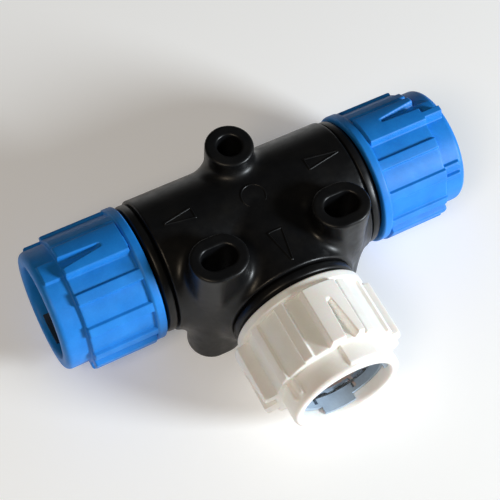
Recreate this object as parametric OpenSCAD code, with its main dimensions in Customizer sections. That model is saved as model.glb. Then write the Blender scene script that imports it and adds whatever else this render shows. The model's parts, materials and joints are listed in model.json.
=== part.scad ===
// Push-fit pipe tee with three screw caps, collets, grip rings and seals.
// Millimetres. Origin where the run axis (X) meets the branch axis (-Y); +Z is the screw direction.

/* [Pipe] */
// Radius of the socket that the 15 mm pipe slides into
socket_r = 7.55; // [7.5:0.05:7.6]
// Distance from the centre to the pipe stop
pipe_stop = 12; // [11:0.5:13]
// Radius of the water way through the tee
water_r = 4.7; // [4:0.1:4.8]

/* [Run] */
// Radius of the run tube
run_tube_r = 12.4; // [12.2:0.1:12.6]
// Distance from the centre to the face of a run cap
run_cap_start = 21.85; // [21:0.05:23]
// Length of a run cap from its face to its nose end
run_cap_length = 18.35; // [18:0.05:19]
// Radius of a run cap's face band
run_band_r = 12.5; // [12.4:0.05:12.7]
// Radius of a run cap's nose
run_nose_r = 11; // [10.6:0.1:11.2]
// Outer radius of the grip pads on a run cap
run_pad_r = 12.8; // [12.7:0.05:13.2]

/* [Branch] */
// Radius of the branch tube
branch_tube_r = 12.2; // [12:0.1:12.3]
// Distance from the centre to the face of the branch cap
branch_cap_start = 19.8; // [19:0.05:21]
// Length of the branch cap from its face to its nose end
branch_cap_length = 17.5; // [17.2:0.05:18]
// Radius of the branch cap's face band
branch_band_r = 12.25; // [12.2:0.05:12.4]
// Radius of the branch cap's nose
branch_nose_r = 10.25; // [10.2:0.05:10.6]
// Outer radius of the grip pads on the branch cap
branch_pad_r = 13.1; // [12.8:0.05:13.2]
// Outer radius of the one tall pad on the branch cap
branch_fin_r = 13.65; // [13.3:0.05:13.65]

/* [Mounting bosses] */
// Height of the boss tops above the run axis
boss_top = 15.35; // [14.5:0.05:16]
// Depth of the boss feet below the run axis
boss_foot = 13.7; // [13.4:0.05:14.5]
// Distance from the run axis to the round boss
round_boss_y = 7.9; // [7.8:0.1:8.5]
// Outer radius of the round boss
round_boss_r = 4.35; // [4.2:0.05:4.5]
// Radius of the screw hole in the round boss
screw_hole_r = 2.2; // [2:0.05:2.25]
// Distance from the branch axis to each slotted boss
slot_boss_x = 11.8; // [11.8:0.1:12.2]
// Distance from the run axis to each slotted boss
slot_boss_y = 11.3; // [11.2:0.1:11.6]
// Radius of the rounded ends of a slotted boss
slot_boss_r = 4.4; // [4.3:0.05:4.5]
// Half the width of a mounting slot
slot_r = 2.1; // [2:0.05:2.15]
// End-to-end length of a mounting slot
slot_length = 6.4; // [6:0.1:6.5]

/* [Cap grip] */
// Number of windows round a cap
window_count = 12; // [10:1:14]
// Width of a rib between two windows, in degrees
rib_angle = 9.5; // [8:0.5:11]
// Depth of the windows below the ribs
window_depth = 0.5; // [0.3:0.05:0.55]
// Half the angle of a grip pad at its crest
pad_crest_angle = 13.5; // [12:0.5:15]
// Half the angle of a grip pad at its foot
pad_foot_angle = 17.5; // [16:0.5:20]

/* [Fits] */
// Pitch of the cap thread
thread_pitch = 1.8; // [1.5:0.1:2]
// Radial gap between the threaded neck and the cap
thread_gap = 0.1; // [0.06:0.01:0.1]
// Radial gap between the sliding rings and their chambers
slide_gap = 0.1; // [0.06:0.01:0.1]

/* [Hidden] */
SIDES = ["left", "branch", "right"];

$fn = 96;
eps = 0.01;
// How far a cut runs past the face it opens, and how far a rib runs into what it stands on.
past = 1;
root = 0.5;
left = 0;
branch = 1;
right = 2;

// Driving sizes of the three arms, in the order left, branch, right.
tube_r = [run_tube_r, branch_tube_r, run_tube_r];
cap_start = [run_cap_start, branch_cap_start, run_cap_start];
cap_length = [run_cap_length, branch_cap_length, run_cap_length];
band_r = [run_band_r, branch_band_r, run_band_r];
nose_r = [run_nose_r, branch_nose_r, run_nose_r];
pad_r = [run_pad_r, branch_pad_r, run_pad_r];
// Angles of the grip pads round each cap, from its first pad.
pad_turns = [[0, 120, 240], [0, 103, 180, 281], [0, 120, 240]];
pad_radii = [
    [run_pad_r, run_pad_r, run_pad_r],
    [branch_pad_r, branch_fin_r, branch_pad_r, branch_pad_r],
    [run_pad_r, run_pad_r, run_pad_r]
];
// How far each cap is turned from the top, and how far its ribs sit from its pads.
cap_turn = [6.5, -6, -9.3];
rib_turn = [-6, 6, 5.5];
// Colours of the three caps.
cap_colour = ["royalblue", "ivory", "royalblue"];

// End of the tube, behind the cap.
cap_gap = 0.6;
end_band_width = 1.5;
end_groove_width = 0.45;
end_groove_depth = 0.8;
end_band_step = 0.4;
end_chamfer = 0.3;

// Threaded neck.
neck_crest_r = 10.85;
neck_root_r = 10.35;
neck_short = 2.6;
thread_lead = 0.3;
// Root, crest start, crest end and root of one ridge, as shares of the pitch.
ridge_shape = [0.1, 0.35, 0.6, 0.85];
chamber_r = 9.4;

// Seal stack, measured outwards from the bottom of the chamber.
chamber_back = 8.5;
seal_r = 0.95;
seal_centre_r = 8.42;
inner_seal_at = 0.97;
spacer_at = 1.95;
spacer_length = 1.8;
outer_seal_at = 4.74;
thrust_at = 6.35;
thrust_length = 3.1;
ring_inner_r = 7.65;
key_width = 2.4;
key_gap = 0.15;
key_r = 10.15;
key_length = 1.8;
key_slot_length = 3.5;
key_setback = 0.6;
thrust_slack = 0.25;

// Cap.
band_width = 1.8;
nose_length = 4.6;
nose_round = 1.1;
mouth_r = 8.45;
mouth_chamfer = 0.7;
cap_bore_r = neck_crest_r + thread_gap;
cap_shoulder = 1.4;
key_clear = 0.35;
face_edge = 0.4;
collet_chamber_r = 9.3;
lip_length = 2.7;
rib_drop = 0.2;
pad_setback = 0.15;
pad_short = 0.1;
wedge_length = 7.3;
wedge_narrow = 0.5;
wedge_wide = 2.3;
tick_angle = 67;
tick_spread = 5.5;
tick_width = 0.9;
tick_height = 0.55;
nose_land_angle = 9;
nose_land_height = 0.35;
mark_short = 0.2;
// The pad of each cap that runs on over the nose, from its slot to its far edge.
prong_pad = [1, 2, 0];
prong_from = 5.5;
prong_to = 13;
prong_length = 3.9;

// Collet and grip ring.
collet_flange_r = collet_chamber_r - slide_gap;
collet_r = mouth_r - slide_gap;
collet_inset = 2.3;
collet_slack = 0.15;
flange_length = 2.2;
collet_slit = 0.8;
collet_slits = 6;
grip_groove_r = 8.55;
grip_at = 0.55;
grip_thickness = 0.4;
grip_slack = 0.06;
grip_tooth_r = 7.45;
grip_root_r = 8;
grip_teeth = 12;
tab_width = 6;
tab_length = 1.3;
tab_count = 3;
tab_turn = 180;
slit_turn = 30;
slit_short = 0.1;

// Raised flow arrows on the tube.
arrow_height = 0.25;
arrow_from = [11.2, 9.3, 11.4];
arrow_tip = [16.4, 15.6, 17.6];
arrow_width = [2.1, 2.7, 2.3];
arrow_line = 0.45;
arrow_corner = 1.3;
arrow_hollow = 0.6;

// Plain round mould mark on top of the tube.
mark_r = 2.4;
mark_y = -1.5;
mark_depth = 0.25;

// Half the distance between the round ends of a slotted boss.
slot_boss_half = 0.8;

// Places along an arm, as functions of the arm.
function nose_end(a) = cap_start[a] + cap_length[a];
function nose_step(a) = nose_end(a) - nose_length;
function neck_end(a) = nose_step(a) - neck_short;
function chamber_start(a) = neck_end(a) - chamber_back;
function thrust_end(a) = chamber_start(a) + thrust_at + thrust_length;
function shoulder(a) = thrust_end(a) + thrust_slack;
function lip_start(a) = nose_end(a) - lip_length;
function collet_end(a) = nose_end(a) - collet_inset;
function collet_start(a) = lip_start(a) - flange_length - collet_slack;
function rib_r(a) = band_r[a] - rib_drop;
function window_r(a) = rib_r(a) - window_depth;
function arc(cx, cy, r, from, to, steps) =
    [for (i = [0:steps]) let (t = from + (to - from) * i / steps) [cx + r * cos(t), cy + r * sin(t)]];

// Turns an outward arm along local +Z, with local +X up, to the left, branch or right arm.
module arm(a) {
    rotate([0, 0, 90 * a])
        rotate([0, -90, 0])
            children();
}

// A ring along the arm between two distances and two radii.
module ring(from, to, inner, outer) {
    rotate_extrude()
        translate([inner, from])
            square([outer - inner, to - from]);
}

// A torus seal centred at a distance along the arm.
module seal(at) {
    rotate_extrude()
        translate([seal_centre_r, at])
            circle(r = seal_r, $fn = 32);
}

// A wedge of the circle, centred on local +X, reaching past radius r.
module sector(half_angle, r) {
    polygon([[0, 0], [r, -r * tan(half_angle)], [r, r * tan(half_angle)]]);
}

// ---- tee body ----

// Outer profile of one tube end: tube, dark groove and end band.
module tube_end(a) {
    groove_end = cap_start[a] - cap_gap - end_band_width;
    groove_start = groove_end - end_groove_width;
    band_end = cap_start[a] - cap_gap;
    band_outer = tube_r[a] - end_band_step;
    rotate_extrude()
        polygon([
            [0, 0],
            [tube_r[a], 0],
            [tube_r[a], groove_start],
            [tube_r[a] - end_groove_depth, groove_start],
            [tube_r[a] - end_groove_depth, groove_end],
            [band_outer, groove_end],
            [band_outer, band_end - end_chamfer],
            [band_outer - end_chamfer, band_end],
            [0, band_end]
        ]);
}

// Threaded neck as a row of rounded ridges.
module neck(a) {
    start = cap_start[a] - cap_gap - eps;
    end = neck_end(a);
    first = cap_start[a] + thread_lead;
    ridges = floor((end - first - thread_lead) / thread_pitch);
    ridge = [for (i = [0:ridges - 1]) each [
        [neck_root_r, first + thread_pitch * (i + ridge_shape[0])],
        [neck_crest_r, first + thread_pitch * (i + ridge_shape[1])],
        [neck_crest_r, first + thread_pitch * (i + ridge_shape[2])],
        [neck_root_r, first + thread_pitch * (i + ridge_shape[3])]
    ]];
    rotate_extrude()
        polygon(concat([[0, start], [neck_root_r, start]], ridge, [[neck_root_r, end], [0, end]]));
}

// Water way, pipe socket and seal chamber of one arm.
module arm_bore(a) {
    cylinder(r = water_r, h = pipe_stop + eps);
    translate([0, 0, pipe_stop])
        cylinder(r = socket_r, h = neck_end(a));
    translate([0, 0, chamber_start(a)])
        cylinder(r = chamber_r, h = chamber_back + eps);
    key_slots(a);
}

// Two open slots in the neck that keep the thrust ring from turning.
module key_slots(a) {
    width = key_width + 2 * key_gap;
    translate([-width / 2, -band_r[a], neck_end(a) - key_slot_length])
        cube([width, 2 * band_r[a], key_slot_length + eps]);
}

// Outline of a slotted boss or of its slot.
module obround(r, half) {
    translate([-half, 0])
        circle(r = r);
    translate([half, 0])
        circle(r = r);
    translate([-half, -r])
        square([2 * half, 2 * r]);
}

module boss_positions() {
    for (side = [-1, 1])
        translate([side * slot_boss_x, -slot_boss_y, 0])
            children();
}

module bosses() {
    height = boss_top + boss_foot;
    translate([0, round_boss_y, -boss_foot])
        cylinder(r = round_boss_r, h = height);
    boss_positions()
        translate([0, 0, -boss_foot])
            linear_extrude(height)
                obround(slot_boss_r, slot_boss_half);
}

module boss_holes() {
    height = boss_top + boss_foot + 2 * past;
    translate([0, round_boss_y, -boss_foot - past])
        cylinder(r = screw_hole_r, h = height);
    boss_positions()
        translate([0, 0, -boss_foot - past])
            linear_extrude(height)
                obround(slot_r, slot_length / 2 - slot_r);
}

// Raised outline of a long triangle pointing outwards along the arm.
module flow_arrow(a) {
    length = arrow_tip[a] - arrow_from[a];
    half = arrow_width[a] / 2;
    intersection() {
        ring(arrow_from[a] - past, arrow_tip[a] + past, tube_r[a] - root, tube_r[a] + arrow_height);
        rotate([0, 90, 0])
            linear_extrude(2 * tube_r[a])
                difference() {
                    polygon([[-arrow_from[a], -half], [-arrow_from[a], half], [-arrow_tip[a], 0]]);
                    polygon([
                        [-arrow_from[a] - arrow_line, -half + arrow_corner * arrow_line],
                        [-arrow_from[a] - arrow_line, half - arrow_corner * arrow_line],
                        [-arrow_from[a] - arrow_hollow * length, 0]
                    ]);
                }
    }
}

module tee_body() {
    color("#101214")
        difference() {
            union() {
                for (a = [left, branch, right])
                    arm(a) {
                        tube_end(a);
                        neck(a);
                        flow_arrow(a);
                    }
                bosses();
            }
            for (a = [left, branch, right])
                arm(a)
                    arm_bore(a);
            boss_holes();
            translate([0, mark_y, run_tube_r - mark_depth])
                difference() {
                    cylinder(r = mark_r, h = past);
                    translate([0, 0, -eps])
                        cylinder(r = mark_r - arrow_line, h = past + 2 * eps);
                }
        }
}

// ---- cap ----

// Smooth core of a cap: face band, rib surface, nose with a rounded front edge.
module cap_core(a) {
    face = cap_start[a];
    step = nose_step(a);
    end = nose_end(a);
    rotate_extrude()
        polygon(concat(
            [[0, face], [band_r[a] - face_edge, face], [band_r[a], face + face_edge], [band_r[a], face + band_width]],
            [[rib_r(a), face + band_width], [rib_r(a), step], [nose_r[a], step]],
            arc(nose_r[a] - nose_round, end - nose_round, nose_round, 0, 90, 8),
            [[0, end]]
        ));
}

// Windows between the ribs, open at the nose step.
module cap_windows(a) {
    start = cap_start[a] + band_width;
    half_window = (360 / window_count - rib_angle) / 2;
    for (i = [0:window_count - 1])
        rotate([0, 0, cap_turn[a] + rib_turn[a] + 360 / window_count * (i + 0.5)])
            translate([0, 0, start])
                linear_extrude(nose_step(a) - start + root)
                    difference() {
                        sector(half_window, band_r[a] + past);
                        circle(r = window_r(a));
                    }
}

// One grip pad with drafted sides and a crest of that radius.
module pad(a, crest) {
    foot = window_r(a) - root;
    start = cap_start[a] + band_width + pad_setback;
    translate([0, 0, start])
        linear_extrude(nose_step(a) - pad_short - start)
            intersection() {
                difference() {
                    circle(r = crest);
                    circle(r = foot);
                }
                polygon([
                    [0, 0],
                    [foot * cos(pad_foot_angle), -foot * sin(pad_foot_angle)],
                    [crest * cos(pad_crest_angle), -crest * sin(pad_crest_angle)],
                    [2 * crest * cos(pad_crest_angle), -2 * crest * sin(pad_crest_angle)],
                    [2 * crest * cos(pad_crest_angle), 2 * crest * sin(pad_crest_angle)],
                    [crest * cos(pad_crest_angle), crest * sin(pad_crest_angle)],
                    [foot * cos(pad_foot_angle), foot * sin(pad_foot_angle)]
                ]);
            }
}

// Wedge slot in a pad, closed towards the tee and open at the nose step.
module pad_wedge(a) {
    end = nose_step(a) + root;
    rotate([0, 90, 0])
        translate([0, 0, window_r(a)])
            linear_extrude(pad_r[a])
                polygon([
                    [-end, -wedge_wide / 2],
                    [-end, wedge_wide / 2],
                    [-end + wedge_length, wedge_narrow / 2],
                    [-end + wedge_length, -wedge_narrow / 2]
                ]);
}

// Two short ribs on the nose, and the low land in line with the first pad.
module nose_marks(a) {
    start = nose_step(a) - eps;
    length = nose_length - nose_round - mark_short;
    for (side = [-1, 1])
        rotate([0, 0, cap_turn[a] + tick_angle + side * tick_spread])
            translate([nose_r[a] - root, -tick_width / 2, start])
                cube([root + tick_height, tick_width, length]);
    rotate([0, 0, cap_turn[a]])
        translate([0, 0, start])
            linear_extrude(length)
                difference() {
                    intersection() {
                        circle(r = nose_r[a] + nose_land_height);
                        sector(nose_land_angle, 2 * nose_r[a]);
                    }
                    circle(r = nose_r[a] - root);
                }
}

// One side of a pad, carried on over the nose.
module prong(a) {
    start = nose_step(a) - root;
    rotate([0, 0, cap_turn[a] + pad_turns[a][prong_pad[a]]])
        translate([0, 0, start])
            linear_extrude(prong_length + root)
                intersection() {
                    difference() {
                        circle(r = pad_r[a]);
                        circle(r = nose_r[a] - root);
                    }
                    polygon([
                        [0, 0],
                        2 * pad_r[a] * [cos(prong_from), sin(prong_from)],
                        2 * pad_r[a] * [cos(prong_to), sin(prong_to)]
                    ]);
                }
}

// Thread bore, collet chamber and mouth of a cap.
module cap_bore(a) {
    end = nose_end(a);
    rotate_extrude()
        polygon([
            [0, cap_start[a] - past],
            [cap_bore_r, cap_start[a] - past],
            [cap_bore_r, nose_step(a) - cap_shoulder],
            [key_r + key_clear, nose_step(a) - cap_shoulder],
            [collet_chamber_r, shoulder(a)],
            [collet_chamber_r, lip_start(a)],
            [mouth_r, lip_start(a)],
            [mouth_r, end - mouth_chamfer],
            [mouth_r + mouth_chamfer / 2, end],
            [mouth_r + mouth_chamfer / 2, end + past],
            [0, end + past]
        ]);
}

module cap(a) {
    color(cap_colour[a])
        arm(a)
            difference() {
                union() {
                    difference() {
                        cap_core(a);
                        cap_windows(a);
                    }
                    for (i = [0:len(pad_turns[a]) - 1])
                        rotate([0, 0, cap_turn[a] + pad_turns[a][i]])
                            pad(a, pad_radii[a][i]);
                    nose_marks(a);
                    prong(a);
                }
                cap_bore(a);
                for (turn = pad_turns[a])
                    rotate([0, 0, cap_turn[a] + turn])
                        pad_wedge(a);
            }
}

// ---- pieces inside the cap ----

// Slit sleeve with a flange behind the cap's lip and three release tabs at its rim.
module collet(a) {
    start = collet_start(a);
    end = collet_end(a);
    color(a == branch ? "lightgray" : "dimgray")
        arm(a)
            difference() {
                union() {
                    ring(start, end, ring_inner_r, collet_r);
                    ring(start, start + flange_length, ring_inner_r, collet_flange_r);
                    intersection() {
                        ring(end - eps, end + tab_length, ring_inner_r, collet_r);
                        for (i = [0:tab_count - 1])
                            rotate([0, 0, tab_turn + 360 / tab_count * i])
                                translate([0, -tab_width / 2, end - past])
                                    cube([2 * collet_r, tab_width, tab_length + 2 * past]);
                    }
                }
                ring(start + grip_at, start + grip_at + grip_thickness + 2 * grip_slack, 0, grip_groove_r);
                for (i = [0:collet_slits / 2 - 1])
                    rotate([0, 0, slit_turn + 360 / collet_slits * i])
                        translate([-2 * collet_r, -collet_slit / 2, start - past])
                            cube([4 * collet_r, collet_slit, past + flange_length - slit_short]);
            }
}

// Stainless ring with inward teeth, held in the collet's groove.
module grip_ring(a) {
    start = collet_start(a) + grip_at + grip_slack;
    tooth = 360 / grip_teeth;
    color("silver")
        arm(a)
            translate([0, 0, start])
                linear_extrude(grip_thickness)
                    difference() {
                        circle(r = grip_groove_r - grip_slack);
                        circle(r = grip_tooth_r);
                        for (i = [0:grip_teeth - 1])
                            rotate(tooth * i)
                                intersection() {
                                    circle(r = grip_root_r);
                                    sector(tooth / 4, 2 * grip_root_r);
                                }
                    }
}

// Keyed ring that travels with the cap but can't turn.
module thrust_ring(a) {
    start = chamber_start(a) + thrust_at;
    color("gainsboro")
        arm(a) {
            ring(start, thrust_end(a), ring_inner_r, chamber_r - slide_gap);
            for (turn = [0, 180])
                rotate([0, 0, turn])
                    translate([-key_width / 2, chamber_r - slide_gap - root, thrust_end(a) - key_setback - key_length])
                        cube([key_width, key_r - chamber_r + slide_gap + root, key_length]);
        }
}

module outer_seal(a) {
    color("black")
        arm(a)
            seal(chamber_start(a) + outer_seal_at);
}

module spacer(a) {
    start = chamber_start(a) + spacer_at;
    color("white")
        arm(a)
            ring(start, start + spacer_length, ring_inner_r, chamber_r - slide_gap);
}

module inner_seal(a) {
    color("black")
        arm(a)
            seal(chamber_start(a) + inner_seal_at);
}

tee_body();
for (a = [left, branch, right]) {
    cap(a);
    collet(a);
    grip_ring(a);
    thrust_ring(a);
    outer_seal(a);
    spacer(a);
    inner_seal(a);
}
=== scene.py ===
import json
import math

import bpy
import numpy as np
import openvdb
from mathutils import Matrix, Vector


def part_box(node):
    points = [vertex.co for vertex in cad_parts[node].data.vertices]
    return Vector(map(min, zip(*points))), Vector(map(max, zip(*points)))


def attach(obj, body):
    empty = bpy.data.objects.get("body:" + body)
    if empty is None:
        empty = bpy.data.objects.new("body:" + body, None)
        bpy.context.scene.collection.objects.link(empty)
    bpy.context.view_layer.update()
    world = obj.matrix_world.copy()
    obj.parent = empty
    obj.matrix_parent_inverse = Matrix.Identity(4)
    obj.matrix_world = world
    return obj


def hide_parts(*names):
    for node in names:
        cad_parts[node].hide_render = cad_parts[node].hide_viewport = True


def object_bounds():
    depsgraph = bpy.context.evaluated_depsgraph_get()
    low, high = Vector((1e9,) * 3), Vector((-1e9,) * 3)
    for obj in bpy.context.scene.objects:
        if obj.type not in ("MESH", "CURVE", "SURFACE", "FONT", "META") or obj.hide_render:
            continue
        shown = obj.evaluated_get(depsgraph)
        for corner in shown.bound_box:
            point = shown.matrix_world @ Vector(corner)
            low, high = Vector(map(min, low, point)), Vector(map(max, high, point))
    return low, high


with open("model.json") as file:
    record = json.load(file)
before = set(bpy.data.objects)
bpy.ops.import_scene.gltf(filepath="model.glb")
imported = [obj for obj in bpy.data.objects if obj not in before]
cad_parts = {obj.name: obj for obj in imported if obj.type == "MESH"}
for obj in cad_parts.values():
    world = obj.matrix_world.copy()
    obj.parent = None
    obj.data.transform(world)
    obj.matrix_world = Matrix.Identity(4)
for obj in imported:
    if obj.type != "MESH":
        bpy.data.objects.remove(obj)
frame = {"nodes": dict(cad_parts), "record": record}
CAD_BOX = [list(corner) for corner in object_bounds()]

# ---- sizes, in millimetres and degrees unless a name says otherwise ----

MM = 0.001
MOUNTS = {m["name"]: m for m in frame["record"]["mounts"]}
SIDES = {"left": 0, "branch": 90, "right": 180}
FOOT_Z = CAD_BOX[0][2] / MM
TOP_Z = MOUNTS["screw_hole"]["pos_m"][2] / MM

# Tubes and what lies in them
WATER_R = 4.7
PIPE_STOP = 12
SOCKET_R = MOUNTS["left_pipe_socket"]["dims"]["r_mm"]
CHAMBER_R = 9.4
CHAMBER_BACK = 8.5
TUBE_R = {"left": 12.4, "branch": 12.2, "right": 12.4}

# Tube ends, from the groove to the threaded neck
CAP_GAP = 0.6
END_BAND = 1.5
END_BAND_DROP = 0.4
END_GROOVE = 0.45
END_GROOVE_DROP = 0.8
INNER_LAP = 3
INNER_LAP_DROP = 1.2
HIDDEN_GAP = 0.02
NECK_SHORT = 2.6
NECK_CREST_R = 10.85
NECK_ROOT_R = 10.35
NECK_CHAMFER = 0.15
THREAD_PITCH = 1.8
THREAD_LEAD = 0.3
TUBE_COLUMNS = 240

# Bosses and fillets
ROUND_BOSS_R = 4.35
SLOT_BOSS_R = 4.4
SLOT_BOSS_HALF = 0.8
ROUND_BOSS_FILLET = 2.2
SLOT_BOSS_FILLET = 2.6
BOSS_EDGE = 0.45
HOLE_EDGE = 0.35
WATER_EDGE = 0.3
TUBE_EDGE = 0.25
TUBE_FILLET = 3.0
LEAST_FILLET = 0.05

# The tee body's mesh
VOXEL = 0.3
FIELD_MARGIN = 1.5
FIELD_BAND = 3 * VOXEL
PULL_ROUNDS = 3
PULL_STEP = 0.02
PULL_LIMIT = 0.15
LEAST_SLOPE = 0.3

# Caps: face band, ribs and windows
CAP_COLUMNS = 720
BAND_R = {"left": 12.5, "branch": 12.25, "right": 12.5}
BAND_WIDTH = 1.8
BAND_ROUND = 0.4
CAP_TURN = {"left": 6.5, "branch": -6.0, "right": -9.3}
RIB_TURN = {"left": -6.0, "branch": 6.0, "right": 5.5}
RIB_DROP = 0.2
RIB_ANGLE = 9.5
RIB_SOFTNESS = 0.28
WINDOW_COUNT = 12
WINDOW_DEPTH = 0.6
WINDOW_SOFTNESS = 0.2

# Caps: grip pads and their wedge slots
PAD_R = {"left": 12.8, "branch": 13.1, "right": 12.8}
PAD_TURNS = {"left": (0, 120, 240), "branch": (0, 103, 180, 281), "right": (0, 120, 240)}
FIN_PAD = 1
FIN_R = 13.65
PAD_CREST_ANGLE = 13.5
PAD_FOOT_ANGLE = 17.5
PAD_LEAD = 0.05
PAD_SOFTNESS = 0.3
WEDGE_LENGTH = 7.6
WEDGE_LEAD = 0.6
WEDGE_HALF = 0.34
WEDGE_SPREAD = 0.72
WEDGE_PLACE = -1.0
WEDGE_LEAN = -2.0
WEDGE_SOFTNESS = 0.3
WEDGE_EDGE = -0.12
WEDGE_SINK = 0.15

# Caps: nose
NOSE_R = {"left": 11.0, "branch": 10.25, "right": 11.0}
NOSE_ROUND = {"left": 1.1, "branch": 0.7, "right": 1.1}
NOSE_LENGTH = 4.6
STEP_ROUND = 0.3
STEP_LAND = 0.02
STEP_COVE = 0.25
LAND_SPAN = {"left": (-13.5, 9), "branch": (-26, 9), "right": (-9, 5)}
LAND_HEIGHT = 0.4
LAND_SHORT = 1.1
LAND_SOFTNESS = 0.4
NOSE_END_SOFTNESS = 0.5
TICK_ANGLE = 67.0
TICK_SPREAD = 5.5
TICK_HALF = 0.62
TICK_HEIGHT = 0.62
TICK_SHORT = 1.6
TICK_SOFTNESS = 0.35
TICK_END_SOFTNESS = 0.4
PRONG_PAD = {"left": 1, "branch": 2, "right": 0}
PRONG_FROM = 5.2
PRONG_PAST = 2.5
PRONG_SHORT = 0.85
PRONG_SOFTNESS = 0.8
PRONG_NEAR_SOFTNESS = 0.4

# Caps: inside
MOUTH_R = 8.45
LIP_LENGTH = 2.7
LIP_CHAMFER = 0.1
COLLET_CHAMBER_R = 9.3
CAP_SHOULDER = 1.4
SHOULDER_R = 10.5
SHOULDER_CONE = 0.6
CAP_BORE_R = 10.95
BORE_CHAMFER = 0.15

# Raised marks, as (near end, far end, width) for an arrow
ARROWS = {"left": (11.0, 16.4, 2.1), "branch": (9.3, 15.6, 2.7), "right": (11.4, 17.7, 2.3)}
ARROW_TIP_HALF = 0.12
ARROW_LINE = (0.34, 0.16)
MARK_CENTRE = 1.5
MARK_R = 2.2
MARK_STEPS = 48
MARK_LINE = (0.36, 0.14)
MARK_SPACING = 0.15
RIDGE_SINK = 0.3
RIDGE_DROP = 0.02
MITRE_LIMIT = 0.45


# ---- camera and stage ----

def make_camera():
    """A long lens above and in front of the branch, turned a little about its own axis."""
    azimuth, elevation, roll = (math.radians(v) for v in (-33.24, 58.62, 6.03))
    distance, target = 262.1, Vector((4.5, 1.6, 0))
    back = Vector((
        math.sin(azimuth) * math.cos(elevation),
        -math.cos(azimuth) * math.cos(elevation),
        math.sin(elevation),
    ))
    right = Vector((math.cos(azimuth), math.sin(azimuth), 0))
    up = back.cross(right)
    turned_right = right * math.cos(roll) + up * math.sin(roll)
    turned_up = up * math.cos(roll) - right * math.sin(roll)
    data = bpy.data.cameras.new("camera")
    data.sensor_width = 36
    data.lens = 103.1
    data.shift_x = -0.028
    data.shift_y = -0.083
    data.clip_start, data.clip_end = 0.01, 10
    camera = bpy.data.objects.new("camera", data)
    bpy.context.scene.collection.objects.link(camera)
    axes = Matrix((turned_right, turned_up, back)).transposed().to_4x4()
    camera.matrix_world = Matrix.Translation((target + back * distance) * MM) @ axes
    bpy.context.scene.camera = camera


def make_floor():
    """A plain pale floor that the boss feet stand on."""
    size = 1.5
    z = FOOT_Z * MM
    mesh = bpy.data.meshes.new("floor")
    corners = [(-size, -size, z), (size, -size, z), (size, size, z), (-size, size, z)]
    mesh.from_pydata(corners, [], [(0, 1, 2, 3)])
    floor = bpy.data.objects.new("floor", mesh)
    bpy.context.scene.collection.objects.link(floor)
    mesh.materials.append(floor_material())


def area_light(name, position, aim, size, power, colour):
    """A round soft light; places and size are in metres."""
    data = bpy.data.lights.new(name, "AREA")
    data.shape = "DISK"
    data.size = size
    data.energy = power
    data.color = colour
    light = bpy.data.objects.new(name, data)
    bpy.context.scene.collection.objects.link(light)
    light.location = position
    light.rotation_mode = "QUATERNION"
    light.rotation_quaternion = (Vector(position) - Vector(aim)).to_track_quat("Z", "Y")


def make_lights():
    """A cool key from the right, a weak warm fill from the left and above, and a faint room."""
    centre = (0, -0.01, 0)
    area_light("key", (0.42, -0.43, 0.24), centre, 0.18, 5.5, (0.88, 0.95, 1.0))
    area_light("left_fill", (-0.30, -0.20, 0.46), centre, 0.20, 0.95, (1.0, 0.83, 0.62))
    world = bpy.data.worlds.new("studio")
    world.use_nodes = True
    background = world.node_tree.nodes["Background"]
    background.inputs["Color"].default_value = (1.0, 0.99, 0.97, 1)
    background.inputs["Strength"].default_value = 0.04
    bpy.context.scene.world = world


# ---- materials ----

class Material:
    """A node material with a Principled shader and short helpers for its textures."""

    def __init__(self, name):
        self.material = bpy.data.materials.new(name)
        self.material.use_nodes = True
        self.nodes = self.material.node_tree.nodes
        self.links = self.material.node_tree.links
        self.shader = self.nodes["Principled BSDF"]
        self.coordinates = self.nodes.new("ShaderNodeTexCoord").outputs["Object"]

    def set(self, **values):
        for key, value in values.items():
            self.shader.inputs[key.replace("_", " ")].default_value = value

    def noise(self, scale, detail, roughness=0.55):
        node = self.nodes.new("ShaderNodeTexNoise")
        node.inputs["Scale"].default_value = scale
        node.inputs["Detail"].default_value = detail
        node.inputs["Roughness"].default_value = roughness
        self.links.new(self.coordinates, node.inputs["Vector"])
        return node.outputs["Fac"]

    def ramp(self, source, stops):
        """Stops are (place, colour)."""
        node = self.nodes.new("ShaderNodeValToRGB")
        elements = node.color_ramp.elements
        while len(elements) < len(stops):
            elements.new(0.5)
        for element, (place, colour) in zip(elements, stops):
            element.position = place
            element.color = (*colour, 1)
        self.links.new(source, node.inputs["Fac"])
        return node.outputs["Color"]

    def spread(self, source, low, high):
        """Maps the middle of a noise's range to low and high."""
        node = self.nodes.new("ShaderNodeMapRange")
        node.inputs["From Min"].default_value = 0.3
        node.inputs["From Max"].default_value = 0.7
        node.inputs["To Min"].default_value = low
        node.inputs["To Max"].default_value = high
        self.links.new(source, node.inputs["Value"])
        return node.outputs["Result"]

    def mix(self, factor, first, second):
        node = self.nodes.new("ShaderNodeMix")
        node.data_type = "RGBA"
        self.links.new(factor, node.inputs["Factor"])
        self.links.new(first, node.inputs["A"])
        self.links.new(second, node.inputs["B"])
        return node.outputs["Result"]

    def link(self, source, socket):
        self.links.new(source, self.shader.inputs[socket])

    def bump(self, *layers):
        """Each layer is (height, strength, distance in metres)."""
        normal = None
        for height, strength, distance in layers:
            node = self.nodes.new("ShaderNodeBump")
            node.inputs["Strength"].default_value = strength
            node.inputs["Distance"].default_value = distance
            self.links.new(height, node.inputs["Height"])
            if normal is not None:
                self.links.new(normal, node.inputs["Normal"])
            normal = node.outputs["Normal"]
        self.links.new(normal, self.shader.inputs["Normal"])


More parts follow.
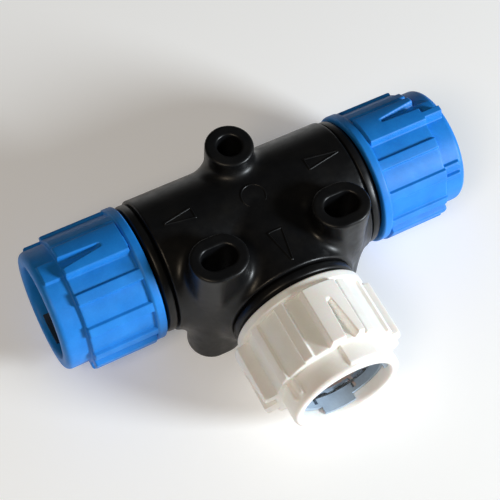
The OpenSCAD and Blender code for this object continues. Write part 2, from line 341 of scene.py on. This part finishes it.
def moulded_plastic(name, dark, mid, light, rough):
    """Satin moulded plastic: cloudy colour, fine specks, soft scuffs and a fine grain."""
    m = Material(name)
    clouds = m.ramp(m.noise(260, 3), [(0.15, dark), (0.5, mid), (0.85, light)])
    specks = m.ramp(m.noise(2600, 2), [(0.38, dark), (0.62, light)])
    blend = m.spread(m.noise(5200, 1), 0.0, 0.24)
    m.link(m.mix(blend, clouds, specks), "Base Color")
    m.link(m.spread(m.noise(420, 5, 0.7), rough[0], rough[1]), "Roughness")
    m.bump((m.noise(180, 2), 0.12, 0.0002), (m.noise(3800, 3), 0.10, 0.00004))
    return m


def black_body_material():
    m = moulded_plastic(
        "black_body",
        dark=(0.0025, 0.0028, 0.0035),
        mid=(0.0042, 0.0044, 0.0050),
        light=(0.0080, 0.0076, 0.0070),
        rough=(0.28, 0.46),
    )
    m.set(Specular_IOR_Level=0.30)
    return m.material


def blue_cap_material():
    m = moulded_plastic(
        "blue_cap",
        dark=(0.008, 0.168, 0.58),
        mid=(0.011, 0.208, 0.68),
        light=(0.018, 0.256, 0.78),
        rough=(0.40, 0.54),
    )
    m.set(Specular_IOR_Level=0.3, Subsurface_Weight=0.04, Subsurface_Scale=0.001)
    return m.material


def white_cap_material():
    """Off-white plastic with a little subsurface, and a faint warm painted glow (emission) that lifts its
    shaded side so it stays warm and pale.
    """
    m = moulded_plastic(
        "white_cap",
        dark=(0.77, 0.745, 0.70),
        mid=(0.83, 0.815, 0.78),
        light=(0.87, 0.865, 0.85),
        rough=(0.38, 0.52),
    )
    m.set(Specular_IOR_Level=0.4, Subsurface_Weight=0.2, Subsurface_Scale=0.0015)
    # painted glow: a faint warm emission stands in for fill light on the shaded side
    m.set(Emission_Color=(1, 0.95, 0.85, 1), Emission_Strength=0.09)
    return m.material


def pale_collet_material():
    # painted shade and painted cool reflection: the pale collet is coloured a darker blue-grey so the inside
    # of the white cap's mouth looks shaded and bluish
    return moulded_plastic(
        "pale_collet",
        dark=(0.28, 0.36, 0.47),
        mid=(0.37, 0.47, 0.59),
        light=(0.45, 0.56, 0.68),
        rough=(0.34, 0.48),
    ).material


def grey_collet_material():
    return moulded_plastic(
        "grey_collet",
        dark=(0.010, 0.018, 0.034),
        mid=(0.016, 0.028, 0.050),
        light=(0.028, 0.045, 0.075),
        rough=(0.30, 0.46),
    ).material


def grey_acetal_material():
    # painted shade: the acetal rings inside the mouth are coloured a dim blue-grey so they read as shaded
    return moulded_plastic(
        "grey_acetal",
        dark=(0.10, 0.12, 0.16),
        mid=(0.14, 0.17, 0.22),
        light=(0.20, 0.24, 0.30),
        rough=(0.34, 0.46),
    ).material


def stainless_material():
    m = Material("stainless")
    m.set(Metallic=1.0)
    tones = [(0.3, (0.46, 0.46, 0.45)), (0.7, (0.66, 0.66, 0.64))]
    m.link(m.ramp(m.noise(900, 4), tones), "Base Color")
    m.link(m.spread(m.noise(3000, 3), 0.22, 0.38), "Roughness")
    m.bump((m.noise(6000, 2), 0.15, 0.00002))
    return m.material


def seal_rubber_material():
    m = Material("seal_rubber")
    tones = [(0.3, (0.012, 0.012, 0.012)), (0.7, (0.026, 0.026, 0.027))]
    m.link(m.ramp(m.noise(500, 4), tones), "Base Color")
    m.link(m.spread(m.noise(1500, 3), 0.55, 0.75), "Roughness")
    m.bump((m.noise(4000, 3), 0.2, 0.00003))
    return m.material


def floor_material():
    m = Material("pale_floor")
    tones = [(0.3, (0.80, 0.80, 0.80)), (0.7, (0.84, 0.84, 0.84))]
    m.link(m.ramp(m.noise(3, 3), tones), "Base Color")
    m.set(Roughness=0.9, Emission_Color=(1, 1, 1, 1), Emission_Strength=0.24)
    return m.material


MATERIALS = {
    "black_body": black_body_material(),
    "blue_cap": blue_cap_material(),
    "white_cap": white_cap_material(),
    "grey_collet": grey_collet_material(),
    "pale_collet": pale_collet_material(),
    "grey_acetal": grey_acetal_material(),
    "stainless": stainless_material(),
    "seal_rubber": seal_rubber_material(),
}


def paint_cad_nodes():
    """Every CAD node gets the material of its slot in the record."""
    for part in frame["record"]["subparts"]:
        node = frame["nodes"][part["node"]]
        node.data.materials.clear()
        node.data.materials.append(MATERIALS[part["material_slot"]])


# ---- mesh helpers ----

def arm_matrix(side):
    """Turns local axes (x up, z outwards along the arm) to the row frame."""
    left = Matrix(((0, 0, -1), (0, 1, 0), (1, 0, 0)))
    return Matrix.Rotation(math.radians(SIDES[side]), 3, "Z") @ left


def arm_span(side, node):
    """Nearest and farthest distance of a CAD node along an arm, in millimetres."""
    outwards = arm_matrix(side) @ Vector((0, 0, 1))
    return sorted(corner.dot(outwards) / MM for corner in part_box(node))


def make_piece(name, vertices, faces, slot, body, matrix=None):
    """A smooth piece in the row frame from vertices in millimetres."""
    points = np.asarray(vertices, float)
    if matrix is not None:
        points = points @ np.array(matrix).T
    mesh = bpy.data.meshes.new(name)
    mesh.from_pydata((points * MM).tolist(), [], faces)
    mesh.validate()
    mesh.shade_smooth()
    mesh.materials.append(MATERIALS[slot])
    piece = bpy.data.objects.new(name, mesh)
    bpy.context.scene.collection.objects.link(piece)
    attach(piece, body)
    return piece


def grid_faces(rows, columns):
    """Quads of a grid that closes both ways."""
    row = np.arange(rows)[:, None]
    column = np.arange(columns)[None, :]
    next_row = (row + 1) % rows
    next_column = (column + 1) % columns
    quads = np.stack([
        row * columns + column,
        row * columns + next_column,
        next_row * columns + next_column,
        next_row * columns + column,
    ], axis=-1)
    return quads.reshape(-1, 4).tolist()


def ease(x, start, width):
    """0 before start, 1 after start + width, smooth between."""
    t = np.clip((x - start) / width, 0, 1)
    return t * t * (3 - 2 * t)


def quarter(first, steps):
    """Angles through a quarter round, in radians, from just inside it to its end."""
    return np.linspace(first, math.pi / 2, steps)


def revolve(rows, columns):
    """Vertices of rows of (radii, distances) turned about the arm's axis."""
    r, u = (np.array([np.broadcast_to(row[i], columns) for row in rows]) for i in range(2))
    theta = np.radians(np.arange(columns) * 360 / columns)[None, :]
    return np.stack([r * np.cos(theta), r * np.sin(theta), u], axis=-1).reshape(-1, 3)


# ---- caps ----

def wrap(angle):
    """The same angle between -180 and 180."""
    return (angle + 180) % 360 - 180


def grip_radius(side, theta, u, start, step):
    """Outer radius of the grip at angles theta and distance u: ribs, windows, pads and wedge slots."""
    rib_r = BAND_R[side] - RIB_DROP
    arc = math.radians(1) * rib_r
    band_end = start + BAND_WIDTH

    rib_pitch = 360 / WINDOW_COUNT
    near_rib = (theta - CAP_TURN[side] - RIB_TURN[side]) % rib_pitch
    near_rib = np.minimum(near_rib, rib_pitch - near_rib)
    window = ease((near_rib - RIB_ANGLE / 2) * arc, -RIB_SOFTNESS / 2, RIB_SOFTNESS)
    radius = rib_r - WINDOW_DEPTH * window * ease(u, band_end, WINDOW_SOFTNESS)

    from_pads = np.array([wrap(theta - CAP_TURN[side] - turn) for turn in PAD_TURNS[side]])
    nearest = np.abs(from_pads).argmin(0)
    from_pad = np.take_along_axis(from_pads, nearest[None], 0)[0]
    crest_r = np.where((nearest == FIN_PAD) & (side == "branch"), FIN_R, PAD_R[side])
    flank = (PAD_FOOT_ANGLE - PAD_CREST_ANGLE) * arc
    pad = ease((PAD_FOOT_ANGLE - np.abs(from_pad)) * arc, 0, flank)
    pad = pad * ease(u, band_end + PAD_LEAD, PAD_SOFTNESS)
    radius = radius + (crest_r - radius) * pad

    wedge_start = step - WEDGE_LENGTH
    share = np.clip((u - wedge_start) / WEDGE_LENGTH, 0, 1)
    half_slot = WEDGE_HALF + WEDGE_SPREAD * share
    centre = WEDGE_PLACE + WEDGE_LEAN * share
    slot = ease(half_slot - np.abs(from_pad - centre) * arc, WEDGE_EDGE, WEDGE_SOFTNESS)
    slot = slot * ease(u, wedge_start, WEDGE_LEAD)
    slot_floor = rib_r - WINDOW_DEPTH - WEDGE_SINK
    return radius + (slot_floor - radius) * slot * (pad > 0.5)


def nose_radius(side, theta, u, step):
    """Outer radius of the nose: the land in line with the first pad, two short ribs, and one long prong."""
    from_turn = wrap(theta - CAP_TURN[side])
    arc = math.radians(1) * NOSE_R[side]
    end = step + NOSE_LENGTH

    low, high = LAND_SPAN[side]
    land = ease((high - from_turn) * arc, 0, LAND_SOFTNESS) * ease((from_turn - low) * arc, 0, LAND_SOFTNESS)
    land = land * (1 - ease(u, end - LAND_SHORT, NOSE_END_SOFTNESS))

    ticks = [
        ease(TICK_HALF - np.abs(from_turn - place) * arc, 0, TICK_SOFTNESS)
        for place in (TICK_ANGLE - TICK_SPREAD, TICK_ANGLE + TICK_SPREAD)
    ]
    tick = np.maximum(*ticks) * (1 - ease(u, end - TICK_SHORT, TICK_END_SOFTNESS))
    radius = NOSE_R[side] + LAND_HEIGHT * land + TICK_HEIGHT * tick

    from_prong = wrap(theta - CAP_TURN[side] - PAD_TURNS[side][PRONG_PAD[side]])
    prong = ease((PAD_CREST_ANGLE + PRONG_PAST - from_prong) * arc, 0, PRONG_SOFTNESS)
    prong = prong * ease((from_prong - PRONG_FROM) * arc, 0, PRONG_NEAR_SOFTNESS)
    prong = prong * (1 - ease(u, end - PRONG_SHORT, NOSE_END_SOFTNESS))
    return radius + (PAD_R[side] - radius) * prong


def band_rows(side, start):
    """From the bore's edge round the face band, up to where the grip starts."""
    band_r = BAND_R[side]
    band_end = start + BAND_WIDTH
    rows = [(CAP_BORE_R + BORE_CHAMFER, start), (band_r - BAND_ROUND, start)]
    rows += [
        (band_r - BAND_ROUND * (1 - math.sin(a)), start + BAND_ROUND * (1 - math.cos(a)))
        for a in quarter(0.2, 6)
    ]
    return rows + [(band_r, band_end - 0.5), (band_r, band_end - 0.2)]


def grip_rows(side, theta, start, step):
    """The grip, with close rows at the end of the band, where the windows and pads rise."""
    close = np.array([-0.1, -0.02, 0.06, 0.12, 0.18, 0.24, 0.3, 0.36, 0.42, 0.5, 0.6])
    band_end = start + BAND_WIDTH
    places = np.concatenate([band_end + close, np.linspace(band_end + 0.9, step - 0.6, 36), [step - 0.4]])
    return [(grip_radius(side, theta, u, start, step), u) for u in places]


def step_rows(side, theta, start, step):
    """The step from grip to nose: a rounded rim, a flat face and a cove."""
    rim = grip_radius(side, theta, step, start, step)
    base = nose_radius(side, theta, step, step)
    rounding = np.minimum(STEP_ROUND, np.maximum(rim - base, 0) / 3)
    rows = [
        (rim - rounding * (1 - math.cos(a)), step - STEP_ROUND * (1 - math.sin(a)))
        for a in quarter(0.2, 6)
    ]
    rows += [
        ((rim - rounding) * (1 - share) + (base + rounding) * share, step + STEP_LAND * share)
        for share in (0.3, 0.6)
    ]
    rows += [
        (base + rounding * (1 - math.sin(a)), step + STEP_LAND + STEP_COVE * (1 - math.cos(a)))
        for a in quarter(0, 5)
    ]
    return rows


def nose_rows(side, theta, step):
    """The nose and the round at its end."""
    end = step + NOSE_LENGTH
    nose_round = NOSE_ROUND[side]
    places = np.linspace(step + 0.5, end - nose_round, 16)
    rows = [(nose_radius(side, theta, u, step), u) for u in places]
    rows += [
        (NOSE_R[side] - nose_round * (1 - math.cos(a)), end - nose_round * (1 - math.sin(a)))
        for a in quarter(0.12, 10)
    ]
    return rows


def inner_rows(start, step):
    """The mouth with its rounded edge, the collet's chamber, the shoulder and the bore."""
    end = step + NOSE_LENGTH
    mouth_edge = [(0.55, 0), (0.35, 0.05), (0.15, 0.22), (0.03, 0.5), (0, 0.8)]
    lip_back = end - LIP_LENGTH
    shoulder = step - CAP_SHOULDER
    return [(MOUTH_R + wider, end - deeper) for wider, deeper in mouth_edge] + [
        (MOUTH_R, lip_back + LIP_CHAMFER),
        (MOUTH_R + LIP_CHAMFER, lip_back),
        (COLLET_CHAMBER_R, lip_back),
        (COLLET_CHAMBER_R, shoulder + SHOULDER_CONE),
        (SHOULDER_R, shoulder),
        (CAP_BORE_R, shoulder),
        (CAP_BORE_R, start + BORE_CHAMFER),
    ]


def make_cap(side):
    """A cap as one closed turned surface whose grip and nose radius vary round it."""
    node = f"{side}_cap"
    start, end = arm_span(side, node)
    step = end - NOSE_LENGTH
    theta = np.arange(CAP_COLUMNS) * 360 / CAP_COLUMNS
    rows = band_rows(side, start) + grip_rows(side, theta, start, step)
    rows += step_rows(side, theta, start, step) + nose_rows(side, theta, step) + inner_rows(start, step)
    vertices = revolve(rows, CAP_COLUMNS)
    faces = grid_faces(len(rows), CAP_COLUMNS)
    slot = "white_cap" if side == "branch" else "blue_cap"
    piece = make_piece(f"{side}_cap_shell", vertices, faces, slot, node, arm_matrix(side))
    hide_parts(node)


# ---- tee body ----

def round_union(a, b, radius):
    """Union of two distance fields with a fillet of that radius (a number or a field) between them."""
    both = np.maximum(radius - np.stack(np.broadcast_arrays(a, b)), 0)
    return np.maximum(radius, np.minimum(a, b)) - np.sqrt((both ** 2).sum(0))


def round_cut(a, b, radius):
    """Field a with field b cut out of it, the edge rounded by that radius."""
    return -round_union(-a, b, radius)


def capped(side_distance, end_distance, radius):
    """Intersection of a side and an end distance with a rounded edge."""
    return -round_union(-side_distance, -end_distance, radius)


def obround_distance(x, y, half, radius):
    """Distance to a slot shape whose round ends are centred at plus and minus half along x."""
    return np.hypot(np.maximum(np.abs(x) - half, 0), y) - radius


def tube_stop(side):
    """Where the plain tube ends and the dark groove starts."""
    start, _ = arm_span(side, f"{side}_cap")
    return start - CAP_GAP - END_BAND - END_GROOVE


def tubes_field(x, y, z):
    """The run and branch tubes, blended least where they meet at the top."""
    run = capped(np.hypot(y, z) - TUBE_R["left"], np.abs(x) - tube_stop("right"), TUBE_EDGE)
    branch_ends = np.maximum(-y - tube_stop("branch"), y)
    branch = capped(np.hypot(x, z) - TUBE_R["branch"], branch_ends, TUBE_EDGE)
    facing = z ** 2 / np.maximum(np.hypot(y, z) * np.hypot(x, z), 1)
    return round_union(run, branch, LEAST_FILLET + TUBE_FILLET * (1 - facing))


def water_field(x, y, z):
    """The water way and the three pipe sockets."""
    in_branch = np.where(y < 0, np.hypot(x, z), np.inf)
    water = np.minimum(np.hypot(y, z), in_branch) - WATER_R
    socket = np.minimum(
        np.maximum(np.hypot(y, z) - SOCKET_R, PIPE_STOP - np.abs(x)),
        np.maximum(np.hypot(x, z) - SOCKET_R, PIPE_STOP + y),
    )
    return np.minimum(water, socket)


def body_field(x, y, z):
    """Signed distance to the tee body between its three end grooves, bores included."""
    hole = MOUNTS["screw_hole"]
    slots = MOUNTS["mounting_slots"]
    hole_y = hole["pos_m"][1] / MM
    slot_y = slots["pos_m"][1] / MM
    slot_x = slots["dims"]["spacing_x_mm"] / 2
    slot_r = slots["dims"]["hole_r_mm"]
    half_slot = slots["dims"]["slot_length_mm"] / 2 - slot_r
    ends = np.abs(z - (TOP_Z + FOOT_Z) / 2) - (TOP_Z - FOOT_Z) / 2

    from_hole = np.hypot(x, y - hole_y)
    round_boss = capped(from_hole - ROUND_BOSS_R, ends, BOSS_EDGE)
    slot_place = (np.abs(x) - slot_x, y - slot_y)
    slot_boss = capped(obround_distance(*slot_place, SLOT_BOSS_HALF, SLOT_BOSS_R), ends, BOSS_EDGE)

    body = round_union(tubes_field(x, y, z), round_boss, ROUND_BOSS_FILLET)
    body = round_union(body, slot_boss, SLOT_BOSS_FILLET)
    body = round_cut(body, from_hole - hole["dims"]["r_mm"], HOLE_EDGE)
    body = round_cut(body, obround_distance(*slot_place, half_slot, slot_r), HOLE_EDGE)
    return round_cut(body, water_field(x, y, z), WATER_EDGE)


def pulled(points):
    """The points moved onto the body's surface along its slope."""
    for _ in range(PULL_ROUNDS):
        slope = np.stack([
            body_field(*(points + shift).T) - body_field(*(points - shift).T)
            for shift in PULL_STEP * np.eye(3)
        ], axis=1) / (2 * PULL_STEP)
        length = np.maximum(np.linalg.norm(slope, axis=1), LEAST_SLOPE)
        move = np.clip(body_field(*points.T) / length, -PULL_LIMIT, PULL_LIMIT)
        points = points - slope * (move / length)[:, None]
    points[:, 2] = np.clip(points[:, 2], FOOT_Z, TOP_Z)
    return points


def make_body():
    """The tee body as the zero surface of its field, with each vertex pulled onto the field exactly."""
    run_stop, branch_stop = tube_stop("right"), tube_stop("branch")
    low = np.array([-run_stop, -branch_stop, FOOT_Z]) - FIELD_MARGIN
    high = np.array([run_stop, TUBE_R["left"], TOP_Z]) + FIELD_MARGIN
    counts = np.ceil((high - low) / VOXEL).astype(int) + 1
    x, y, z = ((low[i] + VOXEL * np.arange(counts[i])).astype(np.float32) for i in range(3))
    values = body_field(x[:, None, None], y[None, :, None], z[None, None, :])
    grid = openvdb.FloatGrid(FIELD_BAND)
    grid.copyFromArray(np.clip(values, -FIELD_BAND, FIELD_BAND).astype(np.float32))
    points, quads = grid.convertToQuads(0.0)
    points = pulled(points.astype(float) * VOXEL + low)
    piece = make_piece("tee_shell", points, quads.tolist(), "black_body", "tee")
    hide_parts("tee_body")


def thread_ridge(u):
    """One rounded ridge of the neck's thread, starting at distance u."""
    near_crest = NECK_CREST_R - 0.06
    rising = [(NECK_ROOT_R, u + 0.14), (near_crest, u + 0.54), (NECK_CREST_R, u + 0.72)]
    falling = [(NECK_CREST_R, u + 0.99), (near_crest, u + 1.17), (NECK_ROOT_R, u + 1.57)]
    return rising + falling


def make_tube_end(side):
    """Groove, end band, threaded neck and seal chamber of one arm, as one turned ring."""
    start, end = arm_span(side, f"{side}_cap")
    band_end = start - CAP_GAP
    groove_end = band_end - END_BAND
    groove_start = groove_end - END_GROOVE
    neck_end = end - NOSE_LENGTH - NECK_SHORT
    chamber = neck_end - CHAMBER_BACK
    band_r = TUBE_R[side] - END_BAND_DROP
    groove_r = TUBE_R[side] - END_GROOVE_DROP
    lap_r = TUBE_R[side] - INNER_LAP_DROP
    socket_r = SOCKET_R + HIDDEN_GAP
    first_ridge = start + THREAD_LEAD
    ridge_count = int((neck_end - first_ridge - THREAD_LEAD) / THREAD_PITCH)

    lap_start = groove_start - INNER_LAP
    lap = [(socket_r, lap_start), (lap_r, lap_start), (lap_r, groove_start - 0.05)]
    groove = [(groove_r, groove_start - 0.03), (groove_r, groove_end)]
    band_near = [(band_r - 0.15, groove_end), (band_r - 0.04, groove_end + 0.05), (band_r, groove_end + 0.18)]
    band_far = [(band_r, band_end - 0.45), (band_r - 0.1, band_end - 0.2), (band_r - 0.3, band_end)]
    neck = [(NECK_ROOT_R, band_end)]
    for i in range(ridge_count):
        neck += thread_ridge(first_ridge + THREAD_PITCH * i)
    neck += [(NECK_ROOT_R, neck_end - NECK_CHAMFER), (NECK_ROOT_R - NECK_CHAMFER, neck_end)]
    inside = [(CHAMBER_R + NECK_CHAMFER, neck_end), (CHAMBER_R, neck_end - NECK_CHAMFER)]
    inside += [(CHAMBER_R, chamber), (SOCKET_R + 0.2, chamber), (socket_r, chamber - 0.2)]

    rows = lap + groove + band_near + band_far + neck + inside
    vertices = revolve(rows, TUBE_COLUMNS)
    faces = grid_faces(len(rows), TUBE_COLUMNS)
    make_piece(f"{side}_tube_end", vertices, faces, "black_body", "tee", arm_matrix(side))


# ---- raised marks on the body ----

def raised_line(name, path, tube_r, line, matrix):
    """A low rounded ridge, line = (width, height), along a closed path of (way round, distance) on a tube."""
    width, height = line
    points = np.array(path, float)
    ahead = np.roll(points, -1, axis=0) - points
    behind = points - np.roll(points, 1, axis=0)
    ahead /= np.linalg.norm(ahead, axis=1)[:, None]
    behind /= np.linalg.norm(behind, axis=1)[:, None]
    tangent = ahead + behind
    tangent /= np.linalg.norm(tangent, axis=1)[:, None]
    normal = np.stack([-tangent[:, 1], tangent[:, 0]], axis=1)
    stretch = 1 / np.maximum((tangent * ahead).sum(1), MITRE_LIMIT)
    section = [(s, height * math.sqrt(1 - s * s) - RIDGE_DROP) for s in np.linspace(-1, 1, 7)]
    section += [(1, -RIDGE_SINK), (-1, -RIDGE_SINK)]
    rows = []
    for across, level in section:
        place = points + normal * (across * width / 2 * stretch)[:, None]
        angle = place[:, 0] / tube_r
        r = tube_r + level
        rows.append(np.stack([r * np.cos(angle), r * np.sin(angle), place[:, 1]], axis=1))
    make_piece(name, np.concatenate(rows), grid_faces(len(rows), len(points)), "black_body", "tee", matrix)


def along(corners):
    """Points at a small spacing along a closed outline."""
    points = []
    for (x0, y0), (x1, y1) in zip(corners, corners[1:] + corners[:1]):
        count = max(int(math.hypot(x1 - x0, y1 - y0) / MARK_SPACING), 1)
        points += [(x0 + (x1 - x0) * i / count, y0 + (y1 - y0) * i / count) for i in range(count)]
    return points


def make_arrow(side):
    """A raised outline of an arrow that points out along the arm."""
    near, far, width = ARROWS[side]
    corners = [(-width / 2, near), (width / 2, near), (ARROW_TIP_HALF, far), (-ARROW_TIP_HALF, far)]
    raised_line(f"{side}_flow_arrow", along(corners), TUBE_R[side], ARROW_LINE, arm_matrix(side))


def make_mould_mark():
    """A plain raised ring on top of the run tube."""
    turns = [2 * math.pi * i / MARK_STEPS for i in range(MARK_STEPS)]
    ring = [(MARK_R * math.cos(a) - MARK_CENTRE, MARK_R * math.sin(a)) for a in turns]
    raised_line("mould_mark", ring, TUBE_R["left"], MARK_LINE, arm_matrix("left"))


# ---- build ----

make_camera()
make_floor()
make_lights()
paint_cad_nodes()
make_body()
for side_name in SIDES:
    make_tube_end(side_name)
    make_cap(side_name)
for side_name in SIDES:
    make_arrow(side_name)
make_mould_mark()
bpy.context.scene.view_settings.view_transform = "Standard"
